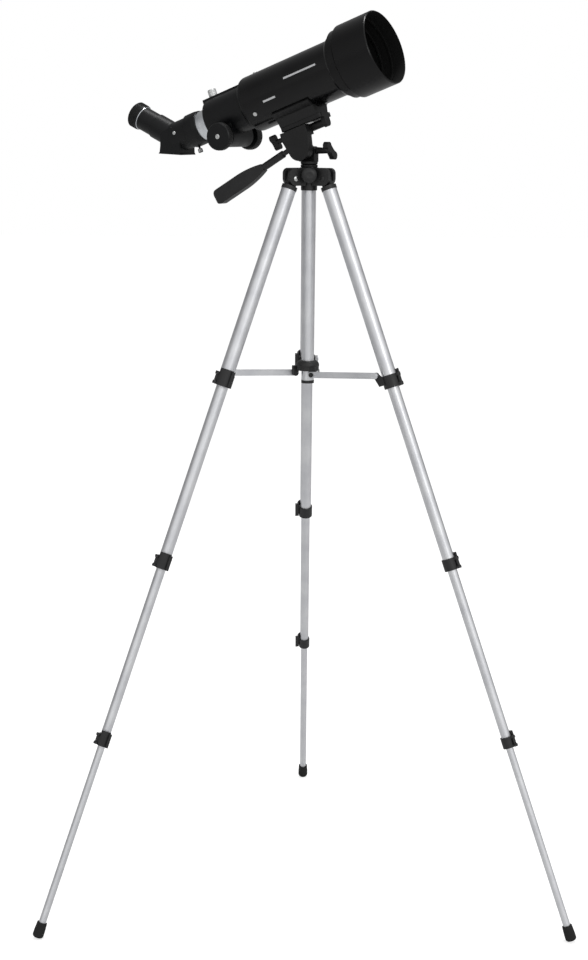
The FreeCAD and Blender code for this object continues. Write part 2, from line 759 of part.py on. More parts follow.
def lensHood():
    """Moulded hood with the lens cell behind it; it slides over the tube's front end."""
    inner = hoodRadius - hoodSkin
    back = tubeFront - hoodSocket + 6
    neck = hoodNeckRadius
    shape = turnedX([(back, tubeRadius + press), (back, tubeRadius + 2.6), (back + 3, tubeRadius + 4.4),
                     (tubeFront - 1, tubeRadius + 4.4), (tubeFront, neck), (hoodStep, neck),
                     (hoodStep + 3, hoodRadius), (hoodMouth - 1, hoodRadius),
                     (hoodMouth, hoodRadius - 0.8), (hoodMouth, inner), (hoodMouth - 18, inner - 0.4),
                     (hoodMouth - 18, inner - 2.4), (hoodMouth - 20, inner - 2.4),
                     (hoodMouth - 20, inner - 1), (hoodMouth - 32, inner - 1.6),
                     (hoodMouth - 32, inner - 5), (hoodMouth - 34, inner - 5),
                     (hoodMouth - 34, inner - 3), (hoodStep + 9, inner - 4),
                     (hoodStep + 9, lensClear), (lensAt + lensEdge + press, lensClear),
                     (lensAt + lensEdge + press, lensRadius + press), (lensAt - press, lensRadius + press),
                     (lensAt - press, lensClear), (tubeFront + press, lensClear),
                     (tubeFront + press, tubeRadius + press)])
    return scopePlace(shape)


def objectiveLens():
    back = lensAt
    front = lensAt + lensEdge
    rim = lensClear - 1
    shape = turnedX([(back, 0), (back, lensRadius), (front, lensRadius), (front, rim),
                     ((front + lensBulge * 0.75, rim * 0.5), (front + lensBulge, lensFlat)),
                     (front + lensBulge, 0)])
    return scopePlace(shape)


def focuserHousing():
    rim = tubeRadius
    spigot = tubeRadius - tubeSkin - press
    bore = drawRadius + sliding
    cavity = housingTubeRadius - 2.4
    front = tubeRear + spigotLength
    rear = housingRear
    slope = rear + 4
    arc = shoulderLength
    shape = turnedX([(rear, bore), (rear, housingTubeRadius - 2.5),
                     ((rear + 0.8, housingTubeRadius - 0.8), (rear + 2.5, housingTubeRadius)),
                     (tubeRear - arc, housingTubeRadius),
                     ((tubeRear - arc * 0.72, rim - arc * 0.28), (tubeRear, rim)),
                     (tubeRear, spigot), (front, spigot), (front, spigot - spigotWall),
                     (tubeRear - 2, spigot - spigotWall), (tubeRear - 12, cavity),
                     (rear + bushLength + 3, cavity), (rear + bushLength, bore)])
    lobe = rod(lobeRadius, 2 * lobeHalfWidth, V(shaftAt, -lobeHalfWidth, -shaftDrop), Y)
    saddle = block(shaftAt - lobeRadius, shaftAt + lobeRadius, -lobeHalfWidth, lobeHalfWidth,
                   -shaftDrop, -16)
    ridge = block(finderBack, finderFront, -finderHalfWidth, finderHalfWidth, drawRadius + 4, finderHeight)
    shape = joined(shape, lobe, saddle, ridge)
    inside = rod(cavity, tubeRear - 12 - rear - bushLength - 3, V(rear + bushLength + 3, 0, 0), X)
    behind = rod(bore, 40, V(rear - 12, 0, 0), X)
    gearRoom = rod(pitchRadius + 1.6, rackWidth + 3, V(shaftAt, -rackWidth / 2 - 1.5, -shaftDrop), Y)
    groove = block(rear - 10, front, -rackWidth / 2 - 0.5, rackWidth / 2 + 0.5, -rackRoot - 2.4, 0)
    shaftHole = rod(shaftRodRadius + running, 80, V(shaftAt, -40, -shaftDrop), Y)
    nutHole = rod(nutStem + running, 20, V(nutAt, 0, drawRadius + 6))
    return scopePlace(less(shape, inside, behind, gearRoom, groove, shaftHole, nutHole,
                           *screwHoles(screwShank + running)))


def pinion():
    """Involute pinion with thinned teeth, about Y, one tooth pointing straight up."""
    pressure = radians(20)
    base = pitchRadius * cos(pressure)
    tip = pitchRadius + toothDepthOut
    root = pitchRadius - toothDepthIn
    halfAtPitch = pi / (2 * pinionTeeth) - backlash / (4 * pitchRadius)

    def half(radius):
        angle = acos(min(1.0, base / radius))
        return halfAtPitch + (tan(pressure) - pressure) - (tan(angle) - angle)

    steps = [base, (base + pitchRadius) / 2, pitchRadius, (pitchRadius + tip) / 2, tip]
    points = []
    for tooth in range(pinionTeeth):
        centre = pi / 2 - tooth * 2 * pi / pinionTeeth
        flank = [(root, half(base))] + [(r, half(r)) for r in steps]
        points += [(r, centre + a) for r, a in flank]
        points += [(r, centre - a) for r, a in reversed(flank)]
    corners = [(r * cos(a), r * sin(a)) for r, a in points]
    return slabY(corners, -rackWidth / 2, rackWidth / 2)


def focusKnobs():
    """Shaft with its pinion and a fluted knob at each end."""
    shape = joined(pinion(), rod(shaftRodRadius, 2 * knobInner + 4, V(0, -knobInner - 2, 0), Y))
    for side in (-1, 1):
        knob = Part.makeCone(knobRadius - 1.2, knobRadius, 3, V(0, side * knobInner, 0), V(0, side, 0))
        rim = rod(knobRadius, knobLength - 4.5, V(0, side * (knobInner + 3), 0), V(0, side, 0))
        face = Part.makeCone(knobRadius, knobRadius - 1.5, 1.5,
                             V(0, side * (knobInner + knobLength - 1.5), 0), V(0, side, 0))
        hub = rod(8.0, knobInner - lobeHalfWidth - seat, V(0, side * (lobeHalfWidth + seat), 0),
                  V(0, side, 0))
        shape = joined(shape, knob, rim, face, hub)
    shape.translate(V(shaftAt, 0, -shaftDrop))
    return scopePlace(shape)


def drawtube():
    """Focusing tube with a rack under it, whose gaps are in step with the pinion."""
    shape = pipe(drawRadius, drawRadius - drawSkin, drawLength, V(drawRear, 0, 0), X)
    pitch = pi * gearModule
    slope = tan(radians(20))
    pitchLine = rackRoot + toothDepthIn
    thick = pitch / 2 - backlash / 2
    atTip = thick / 2 - toothDepthOut * slope
    atRoot = thick / 2 + toothDepthIn * slope
    tip = -(pitchLine + toothDepthOut)
    backCount = int((shaftAt - rackRear) / pitch)
    frontCount = int((rackFront - shaftAt) / pitch)
    points = [(shaftAt + frontCount * pitch, -drawRadius + 1), (shaftAt - backCount * pitch, -drawRadius + 1),
              (shaftAt - backCount * pitch, -rackRoot)]
    for n in range(-backCount, frontCount):
        centre = shaftAt + (n + 0.5) * pitch
        points += [(centre - atRoot, -rackRoot), (centre - atTip, tip),
                   (centre + atTip, tip), (centre + atRoot, -rackRoot)]
    points.append((shaftAt + frontCount * pitch, -rackRoot))
    rack = slabY(points, -rackWidth / 2, rackWidth / 2)
    return scopePlace(joined(shape, rack))


def visualBack():
    """Collar on the drawtube's end, with the small screw that holds the diagonal's nose."""
    rear = drawRear - backLength
    r = backRadius
    lip = 4.0
    shape = turnedX([(rear, noseRadius + sliding), (rear, r - 1), (rear + 1, r), (drawRear - 2, r),
                     (drawRear + lip, r - 1.0), (drawRear + lip, drawRadius + press),
                     (drawRear, drawRadius + press), (drawRear, noseRadius + sliding)])
    screwAt = rear + 4.0
    screw = joined(rod(1.5, 12.5, V(screwAt, 0, -noseRadius - sliding - seat), -Z),
                   rod(3.2, 5, V(screwAt, 0, -r - 3.2), -Z))
    return scopePlace(joined(shape, screw))


def bisected(a, b):
    """From lengths along and away from the prism's flat base to the telescope's own axes."""
    turn = radians(bendAngle / 2)
    return (bendAt + a * cos(turn) + b * sin(turn), -a * sin(turn) + b * cos(turn))


def diagonal():
    rear = drawRear - backLength - seat
    stem = joined(rod(stemRadius, rear - bendAt, V(bendAt, 0, 0), X),
                  rod(noseRadius, noseLength, V(rear, 0, 0), X))
    half = prismHalfLength
    drop = -prismDrop
    corners = [(-half, drop), (half, drop), (half - 1.6, drop + 3), (half - 2.2, drop + 11), (16.5, 6),
               (0, 15), (-16.5, 6), (-half + 2.2, drop + 11), (-half + 1.6, drop + 3)]
    prism = slabY([bisected(a, b) for a, b in corners], -blockHalf, blockHalf)
    holder = rod(holderRadius, holderLength, O, X)
    holder.rotate(O, Y, bendAngle - 180)
    holder.translate(V(bendAt, 0, 0))
    shape = joined(stem, prism, holder)
    lightIn = rod(noseRadius - 1.6, rear + noseLength - bendAt, V(bendAt, 0, 0), X)
    bore = rod(noseRadius + sliding, barrelDepth + 1, V(holderLength - barrelDepth, 0, 0), X)
    lightOut = rod(noseRadius - 2.6, holderLength, O, X)
    for tool in (bore, lightOut):
        tool.rotate(O, Y, bendAngle - 180)
        tool.translate(V(bendAt, 0, 0))
    return scopePlace(less(shape, lightIn, bore, lightOut))


def eyepiece():
    """Barrel in the diagonal's holder, ribbed body and rubber-rimmed eye end."""
    face = holderLength + seat
    body = face + eyeBodyLength
    end = body + eyeCupLength
    shape = turnedX([(face - barrelDepth + 2, noseRadius - 1.4), (face - barrelDepth + 2, noseRadius),
                     (face, noseRadius), (face, eyeBodyRadius), (body - 2, eyeBodyRadius),
                     (body, eyeCupRadius), (end - 1.5, eyeCupRadius), (end, eyeCupRadius - 1.5),
                     (end, eyeHoleRadius + 3), (end - 5, eyeHoleRadius), (end - 6, eyeHoleRadius),
                     (end - 6, 0), (body, 0), (body, noseRadius - 3), (face + 4, noseRadius - 1.4)])
    return eyePlace(shape)


def silverScrews():
    """Three screws that hold the focuser in the tube, and the finder bracket's thumb nut."""
    solids = []
    for angle in tubeScrewSpots():
        shank = rod(screwShank, 6, V(tubeScrewAt, tubeRadius - 5.5, 0), Y)
        head = rod(screwHeadRadius, screwHeadHeight, V(tubeScrewAt, tubeRadius + 0.15, 0), Y)
        screw = joined(shank, head)
        screw.rotate(O, X, angle)
        solids.append(screw)
    solids.append(joined(rod(nutStem, finderHeight - drawRadius - 7, V(nutAt, 0, drawRadius + 7.5)),
                         rod(nutRadius, nutHeight, V(nutAt, 0, finderHeight + 0.5))))
    return scopePlace(Part.makeCompound(solids))


# ---- the whole object ----
def build():
    parts = {}
    for name, azimuth in legNames.items():
        leg(parts, name, azimuth)
        parts["%s_spreader_arm" % name] = spreaderArm(azimuth)
    parts["leg_spider"] = spider()
    parts["column_guide_tube"] = columnGuideTube()
    parts["centre_column"] = centreColumn()
    parts["column_lock_knob"] = columnLockKnob()
    parts["spreader_hub"] = spreaderHub()
    parts["pan_base"] = panBase()
    parts["pan_housing"] = panHousing()
    parts["pan_lock_knob"] = panLockKnob()
    parts["tilt_body"] = tiltBody()
    parts["pan_handle"] = panHandle()
    parts["platform"] = platform()
    parts["side_tilt_knob"] = sideTiltKnob()
    parts["mount_screw"] = mountScrew()
    parts["mount_bracket"] = mountBracket()
    parts["optical_tube"] = opticalTube()
    parts["lens_hood"] = lensHood()
    parts["objective_lens"] = objectiveLens()
    parts["focuser_housing"] = focuserHousing()
    parts["focus_knobs"] = focusKnobs()
    parts["drawtube"] = drawtube()
    parts["visual_back"] = visualBack()
    parts["diagonal"] = diagonal()
    parts["eyepiece"] = eyepiece()
    parts["silver_screws"] = silverScrews()
    return parts


os.makedirs("parts", exist_ok=True)
for node, shape in build().items():
    shape.translate(V(0, shiftY, 0))
    shape.exportStep("parts/%s.step" % node)
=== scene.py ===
import json
import bpy
from math import cos, sin, pi, radians
from mathutils import Matrix, Vector


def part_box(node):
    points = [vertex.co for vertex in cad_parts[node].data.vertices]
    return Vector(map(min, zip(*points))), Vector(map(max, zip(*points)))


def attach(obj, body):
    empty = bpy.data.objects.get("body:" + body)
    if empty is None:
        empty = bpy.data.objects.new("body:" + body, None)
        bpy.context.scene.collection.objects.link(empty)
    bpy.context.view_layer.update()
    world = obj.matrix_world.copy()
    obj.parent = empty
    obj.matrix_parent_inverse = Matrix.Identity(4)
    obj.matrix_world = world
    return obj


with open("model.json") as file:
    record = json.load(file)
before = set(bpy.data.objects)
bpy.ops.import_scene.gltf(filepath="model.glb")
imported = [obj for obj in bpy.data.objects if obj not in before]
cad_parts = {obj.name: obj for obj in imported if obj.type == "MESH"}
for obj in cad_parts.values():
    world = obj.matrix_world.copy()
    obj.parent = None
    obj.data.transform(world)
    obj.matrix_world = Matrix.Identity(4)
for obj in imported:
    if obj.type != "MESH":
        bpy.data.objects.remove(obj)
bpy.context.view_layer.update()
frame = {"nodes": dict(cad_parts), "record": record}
record = frame["record"]
nodes = frame["nodes"]
joints = {j["name"]: j for j in record["behaviour"]["joints"]}
legNames = ["left", "right", "rear"]
mm = 0.001
print("frame loaded:", len(nodes), "nodes")


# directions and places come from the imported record
def frameFrom(zero, along, side, up):
    turn = Matrix((along, side, up)).transposed().to_4x4()
    return Matrix.Translation(zero) @ turn


def jointPlace(name):
    return Vector(joints[name]["pos_m"])


def jointWay(name):
    return Vector(joints[name]["axis"]).normalized()


hoodRim = record["mounts"][0]
scopeWay = Vector(hoodRim["axis"]).normalized()
scopeSide = -jointWay("tilt")
scopeUp = scopeWay.cross(scopeSide)
shaftSpot = {"back": 137 * mm, "below": 30 * mm}    # focuser shaft behind and below the telescope's zero point
scopeFrame = frameFrom(jointPlace("focus_turn") + scopeWay * shaftSpot["back"] + scopeUp * shaftSpot["below"],
                       scopeWay, scopeSide, scopeUp)
eyeWay = jointWay("eyepiece_out")
eyeFrame = frameFrom(jointPlace("diagonal_turn"), eyeWay, scopeSide, eyeWay.cross(scopeSide))
shaftFrame = frameFrom(jointPlace("focus_turn"), scopeSide, scopeUp, scopeWay)


def legFrame(name):
    side = jointWay(name + "_leg_fold")
    up = jointWay(name + "_section_2_slide")
    return frameFrom(jointPlace(name + "_leg_fold"), up, side, up.cross(side))


def colour(hexText, alpha=1.0):
    parts = [int(hexText[i:i + 2], 16) / 255 for i in (1, 3, 5)]
    return tuple(c / 12.92 if c <= 0.04045 else ((c + 0.055) / 1.055) ** 2.4 for c in parts) + (alpha,)


# settings are properties or input values, links go from an input to an output socket
def addNode(tree, kind, settings=None, links=None):
    node = tree.nodes.new(kind)
    for key, value in (settings or {}).items():
        if isinstance(key, str) and hasattr(node, key) and key not in node.inputs:
            setattr(node, key, value)
        else:
            node.inputs[key].default_value = value
    for key, socket in (links or {}).items():
        tree.links.new(socket, node.inputs[key])
    return node


def newMaterial(name, base, metallic, roughness, **more):
    material = bpy.data.materials.new(name)
    material.use_nodes = True
    tree = material.node_tree
    shader = tree.nodes["Principled BSDF"]
    shader.inputs["Base Color"].default_value = colour(base)
    shader.inputs["Metallic"].default_value = metallic
    shader.inputs["Roughness"].default_value = roughness
    for key, value in more.items():
        shader.inputs[key.replace("_", " ")].default_value = value
    return material, tree, shader


# object coordinates measured in a piece's own frame, in millimetres
def placedCoordinates(tree, place):
    coordinates = addNode(tree, "ShaderNodeTexCoord")
    inverse = place.inverted()
    turn = inverse.to_euler()
    mapping = addNode(tree, "ShaderNodeMapping",
                      {"Location": tuple(c / mm for c in inverse.translation), "Rotation": tuple(turn),
                       "Scale": (1 / mm, 1 / mm, 1 / mm)}, {"Vector": coordinates.outputs["Object"]})
    return mapping.outputs["Vector"]


def fineGrain(tree, vector, sizeMm, detail=3.0):
    return addNode(tree, "ShaderNodeTexNoise", {"Scale": 1 / sizeMm, "Detail": detail},
                   {"Vector": vector}).outputs["Fac"]


def spread(tree, source, low, high, fromLow=0.3, fromHigh=0.7):
    return addNode(tree, "ShaderNodeMapRange", {"From Min": fromLow, "From Max": fromHigh,
                                                "To Min": low, "To Max": high},
                   {"Value": source}).outputs["Result"]


def mixColour(tree, factor, first, second):
    node = addNode(tree, "ShaderNodeMix", {"data_type": "RGBA"})
    node.inputs[6].default_value = colour(first)
    node.inputs[7].default_value = colour(second)
    tree.links.new(factor, node.inputs[0])
    return node.outputs[2]


# rounded edges from a bevel of the normal, with the fine relief on top
def finishSurface(tree, shader, height, strength, depthMm, edgeMm):
    normal = addNode(tree, "ShaderNodeBevel", {"samples": 4, "Radius": edgeMm * mm}).outputs["Normal"]
    bump = addNode(tree, "ShaderNodeBump", {"Strength": strength, "Distance": depthMm * mm},
                   {"Height": height, "Normal": normal})
    tree.links.new(bump.outputs["Normal"], shader.inputs["Normal"])


# Drawn 6063 aluminium tube, satin anodised: pale grey, with hair-fine draw lines along its length.
anodisedTube = {"base": "#e6e7e9", "shade": "#d3d4d8", "roughness": 0.40, "lineMm": 0.55, "lineLengthMm": 90,
                "relief": 0.010}


def anodisedAluminium(name, place, look=anodisedTube):
    material, tree, shader = newMaterial(name, look["base"], 1.0, look["roughness"])
    vector = placedCoordinates(tree, place)
    stretch = addNode(tree, "ShaderNodeMapping",
                      {"Scale": (look["lineMm"] / look["lineLengthMm"], 1, 1)}, {"Vector": vector})
    lines = fineGrain(tree, stretch.outputs["Vector"], look["lineMm"], 2)
    clouds = fineGrain(tree, vector, 35, 3)
    tree.links.new(mixColour(tree, spread(tree, clouds, 0, 1), look["base"], look["shade"]),
                   shader.inputs["Base Color"])
    tree.links.new(spread(tree, lines, look["roughness"] - 0.05, look["roughness"] + 0.07),
                   shader.inputs["Roughness"])
    finishSurface(tree, shader, lines, 0.35, look["relief"], 0.15)
    return material


# Injection-moulded nylon or ABS, near-black, with the fine eroded grain of its tool.
mouldedParts = {
    "legFittingNylon": {"base": "#131314", "pale": "#1c1c1d", "roughness": 0.44, "grainMm": 0.45,
                        "relief": 0.05, "edgeMm": 0.45, "ior": 1.5},
    "headNylon": {"base": "#0a0a0b", "pale": "#111112", "roughness": 0.48, "grainMm": 0.4,
                  "relief": 0.045, "edgeMm": 0.6, "ior": 1.42},
    "focuserAbs": {"base": "#030406", "pale": "#07080a", "roughness": 0.42, "grainMm": 0.35,
                   "relief": 0.03, "edgeMm": 0.5, "ior": 1.36},
    "handleGripAbs": {"base": "#161617", "pale": "#202021", "roughness": 0.50, "grainMm": 0.6,
                      "relief": 0.08, "edgeMm": 1.0, "ior": 1.45},
    "footRubber": {"base": "#101010", "pale": "#181818", "roughness": 0.78, "grainMm": 0.8,
                   "relief": 0.10, "edgeMm": 0.4, "ior": 1.45},
}


def mouldedPlastic(name):
    look = mouldedParts[name]
    material, tree, shader = newMaterial(name, look["base"], 0.0, look["roughness"], IOR=look["ior"])
    coordinates = addNode(tree, "ShaderNodeTexCoord").outputs["Object"]
    vector = addNode(tree, "ShaderNodeMapping", {"Scale": (1 / mm, 1 / mm, 1 / mm)},
                     {"Vector": coordinates}).outputs["Vector"]
    grain = fineGrain(tree, vector, look["grainMm"], 4)
    clouds = fineGrain(tree, vector, 14, 3)
    tree.links.new(mixColour(tree, spread(tree, clouds, 0, 1), look["base"], look["pale"]),
                   shader.inputs["Base Color"])
    tree.links.new(spread(tree, clouds, look["roughness"] - 0.05, look["roughness"] + 0.06),
                   shader.inputs["Roughness"])
    finishSurface(tree, shader, grain, 0.5, look["relief"], look["edgeMm"])
    return material


# Steel or aluminium tube in gloss black stoving enamel: mirror-like, with a faint orange peel.
glossTube = {"base": "#020202", "roughness": 0.17, "peelMm": 2.6, "relief": 0.012, "coat": 0.12}


def glossEnamel():
    material, tree, shader = newMaterial("glossBlackEnamel", glossTube["base"], 0.0, glossTube["roughness"],
                                         IOR=1.33, Coat_Weight=glossTube["coat"], Coat_Roughness=0.08)
    vector = placedCoordinates(tree, scopeFrame)
    peel = fineGrain(tree, vector, glossTube["peelMm"], 2)
    dust = fineGrain(tree, vector, 22, 4)
    tree.links.new(spread(tree, dust, glossTube["roughness"] - 0.03, glossTube["roughness"] + 0.08),
                   shader.inputs["Roughness"])
    tree.links.new(mixColour(tree, spread(tree, dust, 0, 1), "#020203", "#060607"),
                   shader.inputs["Base Color"])
    finishSurface(tree, shader, peel, 0.3, glossTube["relief"], 0.4)
    return material


# Moulded ABS hood: satin black outside, dead flat inside with fine anti-glare rings.
hoodLook = {"outside": "#040405", "inside": "#030303", "satin": 0.27, "flat": 0.85, "skinMm": 48.7,
            "startMm": 60, "ringMm": 1.6}


def hoodPlastic():
    look = hoodLook
    material, tree, shader = newMaterial("hoodAbs", look["outside"], 0.0, look["satin"], IOR=1.34)
    vector = placedCoordinates(tree, scopeFrame)
    split = addNode(tree, "ShaderNodeSeparateXYZ", links={0: vector})
    across = addNode(tree, "ShaderNodeCombineXYZ", links={"Y": split.outputs["Y"], "Z": split.outputs["Z"]})
    radius = addNode(tree, "ShaderNodeVectorMath", {"operation": "LENGTH"}, {0: across.outputs["Vector"]})
    within = addNode(tree, "ShaderNodeMath", {"operation": "LESS_THAN", 1: look["skinMm"]},
                     {0: radius.outputs["Value"]}).outputs[0]
    ahead = addNode(tree, "ShaderNodeMath", {"operation": "GREATER_THAN", 1: look["startMm"] + 8.5},
                    {0: split.outputs["X"]}).outputs[0]
    inside = addNode(tree, "ShaderNodeMath", {"operation": "MULTIPLY"}, {0: within, 1: ahead}).outputs[0]
    grain = fineGrain(tree, vector, 0.35, 3)
    rings = addNode(tree, "ShaderNodeTexWave", {"Scale": 0.05 * 2 * pi / look["ringMm"], "Distortion": 0.0,
                                                "bands_direction": "X"}, {"Vector": vector}).outputs["Fac"]
    ringed = addNode(tree, "ShaderNodeMath", {"operation": "MULTIPLY"}, {0: rings, 1: inside}).outputs[0]
    height = addNode(tree, "ShaderNodeMath", {"operation": "MULTIPLY_ADD", 1: 6.0},
                     {0: ringed, 2: grain}).outputs[0]
    tree.links.new(spread(tree, inside, look["satin"], look["flat"], 0, 1), shader.inputs["Roughness"])
    tree.links.new(mixColour(tree, inside, look["outside"], look["inside"]), shader.inputs["Base Color"])
    finishSurface(tree, shader, height, 0.35, 0.03, 0.5)
    return material


# Turned bright aluminium: fine lathe rings round it.
brightTube = {"base": "#e4e7ea", "shade": "#cfd3d8", "roughness": 0.24, "ringMm": 0.5, "relief": 0.02}


def turnedAluminium(name, place, look=brightTube):
    material, tree, shader = newMaterial(name, look["base"], 1.0, look["roughness"])
    vector = placedCoordinates(tree, place)
    squeeze = addNode(tree, "ShaderNodeMapping", {"Scale": (1, 0.03, 0.03)}, {"Vector": vector})
    rings = fineGrain(tree, squeeze.outputs["Vector"], look["ringMm"], 2)
    clouds = fineGrain(tree, vector, 9, 2)
    tree.links.new(mixColour(tree, spread(tree, clouds, 0, 1), look["base"], look["shade"]),
                   shader.inputs["Base Color"])
    tree.links.new(spread(tree, rings, look["roughness"] - 0.06, look["roughness"] + 0.1),
                   shader.inputs["Roughness"])
    finishSurface(tree, shader, rings, 0.4, look["relief"], 0.2)
    return material


# Zinc-plated steel, tumbled: bright, slightly mottled.
def zincSteel():
    material, tree, shader = newMaterial("zincSteel", "#d2d3d2", 1.0, 0.28)
    coordinates = addNode(tree, "ShaderNodeTexCoord").outputs["Object"]
    vector = addNode(tree, "ShaderNodeMapping", {"Scale": (1 / mm, 1 / mm, 1 / mm)},
                     {"Vector": coordinates}).outputs["Vector"]
    mottle = fineGrain(tree, vector, 0.7, 3)
    tree.links.new(mixColour(tree, spread(tree, mottle, 0, 1), "#dcdddc", "#bfc1c1"),
                   shader.inputs["Base Color"])
    tree.links.new(spread(tree, mottle, 0.22, 0.36), shader.inputs["Roughness"])
    finishSurface(tree, shader, mottle, 0.3, 0.02, 0.25)
    return material


# Coated crown glass: clear, with the blue-green bloom of an anti-reflection layer.
def coatedGlass():
    material, tree, shader = newMaterial("coatedGlass", "#dfeef0", 0.0, 0.02, IOR=1.52,
                                         Transmission_Weight=1.0, Coat_Weight=0.5, Coat_Roughness=0.02,
                                         Coat_Tint=colour("#8fd0b8"))
    vector = placedCoordinates(tree, scopeFrame)
    smear = fineGrain(tree, vector, 12, 3)
    tree.links.new(spread(tree, smear, 0.01, 0.05), shader.inputs["Roughness"])
    return material


# Screen-printed ink on the enamel: flat pale grey, a little uneven.
def printedInk():
    material, tree, shader = newMaterial("printedInk", "#c9cacb", 0.0, 0.5)
    vector = placedCoordinates(tree, scopeFrame)
    patchy = fineGrain(tree, vector, 1.2, 3)
    tree.links.new(mixColour(tree, spread(tree, patchy, 0, 1), "#d2d3d4", "#b4b5b7"),
                   shader.inputs["Base Color"])
    return material


columnFrame = frameFrom(jointPlace("column_knob_turn"), Vector((0, 0, 1)), Vector((0, 1, 0)), Vector((-1, 0, 0)))
materials = {name: mouldedPlastic(name) for name in mouldedParts}
materials["gloss"] = glossEnamel()
materials["hood"] = hoodPlastic()
materials["bright"] = turnedAluminium("turnedAluminium", scopeFrame)
materials["eyeRing"] = turnedAluminium("turnedEyeRing", eyeFrame)
materials["zinc"] = zincSteel()
materials["glass"] = coatedGlass()
materials["ink"] = printedInk()
materials["column"] = anodisedAluminium("anodisedColumn", columnFrame)
for leg in legNames:
    materials[leg] = anodisedAluminium("anodisedLeg" + leg.capitalize(), legFrame(leg))
print("materials made:", len(materials))


# finishes of the pieces that come with the frame
def dress(node, material):
    slots = nodes[node].material_slots
    if slots:
        for slot in slots:
            slot.material = materials[material]
    else:
        nodes[node].data.materials.append(materials[material])


nodeFinish = {"leg_spider": "legFittingNylon", "spreader_hub": "legFittingNylon", "column_guide_tube": "column",
              "centre_column": "column", "column_lock_knob": "legFittingNylon", "pan_base": "headNylon",
              "pan_housing": "headNylon", "pan_lock_knob": "headNylon", "tilt_body": "headNylon",
              "side_tilt_knob": "headNylon", "platform": "headNylon", "mount_bracket": "headNylon",
              "pan_handle": "handleGripAbs", "mount_screw": "zinc", "silver_screws": "zinc",
              "optical_tube": "gloss", "lens_hood": "hood", "objective_lens": "glass",
              "focuser_housing": "focuserAbs", "focus_knobs": "focuserAbs", "drawtube": "bright",
              "visual_back": "focuserAbs", "diagonal": "focuserAbs", "eyepiece": "focuserAbs"}
for leg in legNames:
    for part in ("leg_fittings", "leg_lock_2", "leg_lock_3", "lock_lever_1", "lock_lever_2", "lock_lever_3"):
        nodeFinish[leg + "_" + part] = "legFittingNylon"
    for i in (1, 2, 3, 4):
        nodeFinish["%s_leg_tube_%d" % (leg, i)] = leg
    nodeFinish[leg + "_spreader_arm"] = leg
    nodeFinish[leg + "_foot"] = "footRubber"
for node, material in nodeFinish.items():
    dress(node, material)
print("nodes dressed:", len(nodeFinish))


def placeMesh(name, points, faces, place, material, body, smooth=True):
    mesh = bpy.data.meshes.new(name)
    mesh.from_pydata([place @ Vector(p) for p in points], [], faces)
    mesh.update()
    if smooth:
        mesh.shade_smooth()
    piece = bpy.data.objects.new(name, mesh)
    bpy.context.scene.collection.objects.link(piece)
    mesh.materials.append(materials[material])
    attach(piece, body)
    return piece


# ring or disc turned about the frame's first axis, from (along, radius) points in mm
def turned(name, profile, place, material, body, steps=64, flutes=0, fluteDepth=0.0, closed=False):
    points, faces = [], []
    count = len(profile)
    for s in range(steps):
        angle = 2 * pi * s / steps
        dent = 1 - fluteDepth * (0.5 + 0.5 * cos(flutes * angle)) if flutes else 1
        for i, (along, radius) in enumerate(profile):
            r = radius * (dent if 0 < i < count - 1 else 1)
            points.append((along * mm, r * mm * cos(angle), r * mm * sin(angle)))
    for s in range(steps):
        a, b = s * count, ((s + 1) % steps) * count
        for i in range(count if closed else count - 1):
            j = (i + 1) % count
            faces.append((a + i, b + i, b + j, a + j))
    piece = placeMesh(name, points, faces, place, material, body)
    bevel = piece.modifiers.new("edges", "BEVEL")
    bevel.width = 0.12 * mm
    bevel.segments = 2
    bevel.limit_method = "ANGLE"
    return piece


# knurled and slotted silver pieces on the telescope
eyepieceRing = {"from": 62.4, "to": 64.5, "radius": 16.9}
turned("eyepiece_ring", [(eyepieceRing["from"], 15.9), (eyepieceRing["from"], eyepieceRing["radius"]),
                         (eyepieceRing["to"], eyepieceRing["radius"]), (eyepieceRing["to"], 15.9)],
       eyeFrame, "eyeRing", "ocular", closed=True)
for step in range(7):                      # raised ribs round the rubber eye cup
    start = 66.6 + step * 1.5
    turned("eye_cup_rib_%d" % step, [(start, 17.8), (start + 0.2, 18.45), (start + 0.7, 18.45), (start + 0.9, 17.8)],
           eyeFrame, "footRubber", "ocular", closed=True)

focusKnob = {"inner": 32.0, "length": 12.5, "radius": 18.5, "flutes": 40, "screw": 3.4}
for side, way in (("near", -1), ("far", 1)):
    ring = [(way * (focusKnob["inner"] + 2.6), 18.2), (way * (focusKnob["inner"] + 3.4), 18.85),
            (way * (focusKnob["inner"] + 10.4), 18.85), (way * (focusKnob["inner"] + 11.2), 18.2)]
    turned("focus_knob_grip_" + side, ring, shaftFrame, "footRubber", "focus_shaft", steps=240,
           flutes=focusKnob["flutes"], fluteDepth=0.025, closed=True)
    face = focusKnob["inner"] + focusKnob["length"]
    turned("focus_knob_screw_" + side, [(way * (face - 0.2), 0.01), (way * (face - 0.2), focusKnob["screw"]),
                                        (way * (face + 0.9), focusKnob["screw"]),
                                        (way * (face + 1.4), focusKnob["screw"] - 1.0),
                                        (way * (face + 1.4), 0.9), (way * (face + 0.5), 0.8),
                                        (way * (face + 0.5), 0.01)],
           shaftFrame, "zinc", "focus_shaft", steps=40)

finderNut = {"at": -151.0, "from": 33.0, "to": 41.5, "radius": 6.0}
nutFrame = frameFrom(scopeFrame @ Vector((finderNut["at"] * mm, 0, 0)), scopeUp, scopeWay, scopeSide)
turned("finder_nut_knurl", [(finderNut["from"] + 0.6, 5.4), (finderNut["from"] + 1.2, finderNut["radius"]),
                            (finderNut["to"] - 1.2, finderNut["radius"]), (finderNut["to"] - 0.6, 5.4)],
       nutFrame, "zinc", "telescope", steps=144, flutes=28, fluteDepth=0.07, closed=True)

